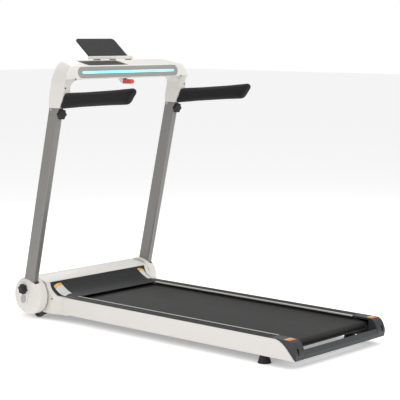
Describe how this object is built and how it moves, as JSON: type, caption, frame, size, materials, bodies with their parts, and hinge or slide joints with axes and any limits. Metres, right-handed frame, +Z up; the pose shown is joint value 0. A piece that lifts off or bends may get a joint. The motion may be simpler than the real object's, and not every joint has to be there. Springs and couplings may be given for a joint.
{
  "type": "treadmill",
  "caption": "Folding home treadmill with a motor hood, ribbed foot strips, leaning uprights, long foam handles and a slim display console with a device holder.",
  "frame": {"origin": "On the floor, under the middle of the machine's bounding box.", "axes": "+X runs from the motor end to the step-on end, +Y to the right of a user who faces the console, +Z up."},
  "size_m": [1.51, 0.7906, 1.2025],
  "materials": {
    "light_plastic": "satin",
    "dark_plastic": "fine grain",
    "cap_plastic": "fine grain",
    "black_rubber": "matt",
    "foam": "matt foam",
    "grey_paint": "satin",
    "frame_paint": "satin",
    "zinc_steel": "zinc",
    "silver_trim": "silver",
    "lens": "lit",
    "red_plastic": "gloss",
    "deck_wood": "laminated",
    "motor_steel": "gloss",
    "board": "circuit board",
    "belt": "woven",
    "drive_rubber": "ribbed",
    "wheel_plastic": "matt"
  },
  "bodies": {
    "base": {"frame_tube_left": "frame_paint", "frame_tube_right": "frame_paint", "cross_tubes": "frame_paint", "motor_plate": "frame_paint", "pivot_brackets": "frame_paint", "pivot_bolts": "zinc_steel", "side_rail_left": "light_plastic", "side_rail_right": "light_plastic", "foot_strip_left": "dark_plastic", "foot_strip_right": "dark_plastic", "strip_trims": "light_plastic", "end_cap_left": "cap_plastic", "end_cap_right": "cap_plastic", "rear_cover": "cap_plastic", "tension_bolts": "zinc_steel", "running_deck": "deck_wood", "deck_cushions": "black_rubber", "running_belt": "belt", "roller_axles": "zinc_steel", "roller_bearings": "zinc_steel", "motor": "motor_steel", "drive_belt": "drive_rubber", "controller_board": "board", "hood": "light_plastic", "hood_panel": "dark_plastic", "under_tray": "dark_plastic", "power_inlet": "dark_plastic", "switch_frame": "dark_plastic", "wheel_axles": "zinc_steel", "rear_feet": "dark_plastic"},
    "front_roller": {"front_roller": "zinc_steel", "roller_pulley": "dark_plastic"},
    "rear_roller": {"rear_roller": "zinc_steel"},
    "motor_rotor": {"motor_rotor": "zinc_steel"},
    "wheel_left": {"wheel_left": "wheel_plastic"},
    "wheel_right": {"wheel_right": "wheel_plastic"},
    "power_switch": {"power_switch": "dark_plastic"},
    "mast": {"upright_left": "grey_paint", "upright_right": "grey_paint", "hub_cover_left": "light_plastic", "hub_cover_right": "light_plastic", "hub_caps": "silver_trim", "console_pins": "zinc_steel"},
    "base_knob_left": {"base_knob_left": "dark_plastic"},
    "base_knob_right": {"base_knob_right": "dark_plastic"},
    "top_knob_left": {"top_knob_left": "dark_plastic"},
    "top_knob_right": {"top_knob_right": "dark_plastic"},
    "console": {"console_tongues": "frame_paint", "console_arch": "light_plastic", "console_panel": "silver_trim", "led_lens": "lens", "console_board": "board", "tray_mat": "black_rubber", "holder_ledge": "light_plastic", "key_socket": "light_plastic", "handle_tubes": "zinc_steel", "grip_left": "foam", "grip_right": "foam"},
    "holder": {"holder_plate": "dark_plastic"},
    "safety_key": {"safety_key": "red_plastic"}
  },
  "joints": [
    {"name": "mast_fold", "type": "hinge", "parent": "base", "child": "mast", "pos_m": [-0.65, 0, 0.101], "axis": [0, 1, 0], "range_deg": [0, 77]},
    {"name": "console_fold", "type": "hinge", "parent": "mast", "child": "console", "pos_m": [-0.47949, 0, 0.91096], "axis": [0, -1, 0], "range_deg": [0, 73]},
    {"name": "holder_tilt", "type": "hinge", "parent": "console", "child": "holder", "pos_m": [-0.5065, 0, 1.1215], "axis": [0, 1, 0], "range_deg": [0, 70]},
    {"name": "safety_key_pull", "type": "slide", "parent": "console", "child": "safety_key", "axis": [1, 0, 0], "range_m": [0, 0.03]},
    {"name": "power_switch_rock", "type": "hinge", "parent": "base", "child": "power_switch", "pos_m": [-0.7485, -0.15, 0.08], "axis": [0, 0, 1], "range_deg": [0, 14]},
    {"name": "base_knob_left_turn", "type": "hinge", "parent": "mast", "child": "base_knob_left", "pos_m": [-0.65092, -0.3803, 0.133], "axis": [0, -1, 0], "range_deg": [0, 330]},
    {"name": "base_knob_right_turn", "type": "hinge", "parent": "mast", "child": "base_knob_right", "pos_m": [-0.65092, 0.3803, 0.133], "axis": [0, 1, 0], "range_deg": [0, 330]},
    {"name": "top_knob_left_turn", "type": "hinge", "parent": "mast", "child": "top_knob_left", "pos_m": [-0.4385, -0.353, 0.89321], "axis": [0.975, 0, -0.2221], "range_deg": [0, 330]},
    {"name": "top_knob_right_turn", "type": "hinge", "parent": "mast", "child": "top_knob_right", "pos_m": [-0.4385, 0.353, 0.89321], "axis": [0.975, 0, -0.2221], "range_deg": [0, 330]},
    {"name": "wheel_left_spin", "type": "hinge", "parent": "base", "child": "wheel_left", "pos_m": [-0.64, -0.304, 0.027], "axis": [0, 1, 0], "continuous": true},
    {"name": "wheel_right_spin", "type": "hinge", "parent": "base", "child": "wheel_right", "pos_m": [-0.64, 0.304, 0.027], "axis": [0, 1, 0], "continuous": true},
    {"name": "front_roller_spin", "type": "hinge", "parent": "base", "child": "front_roller", "pos_m": [-0.52, 0, 0.0734], "axis": [0, 1, 0], "continuous": true},
    {"name": "rear_roller_spin", "type": "hinge", "parent": "base", "child": "rear_roller", "pos_m": [0.686, 0, 0.0734], "axis": [0, 1, 0], "continuous": true},
    {"name": "motor_spin", "type": "hinge", "parent": "base", "child": "motor_rotor", "pos_m": [-0.64, 0, 0.104], "axis": [0, 1, 0], "continuous": true}
  ],
  "couplings": [
    {"joint": "console_fold", "follows": "mast_fold", "ratio": 0.948},
    {"joint": "rear_roller_spin", "follows": "front_roller_spin", "ratio": 1},
    {"joint": "motor_spin", "follows": "front_roller_spin", "ratio": 2}
  ]
}
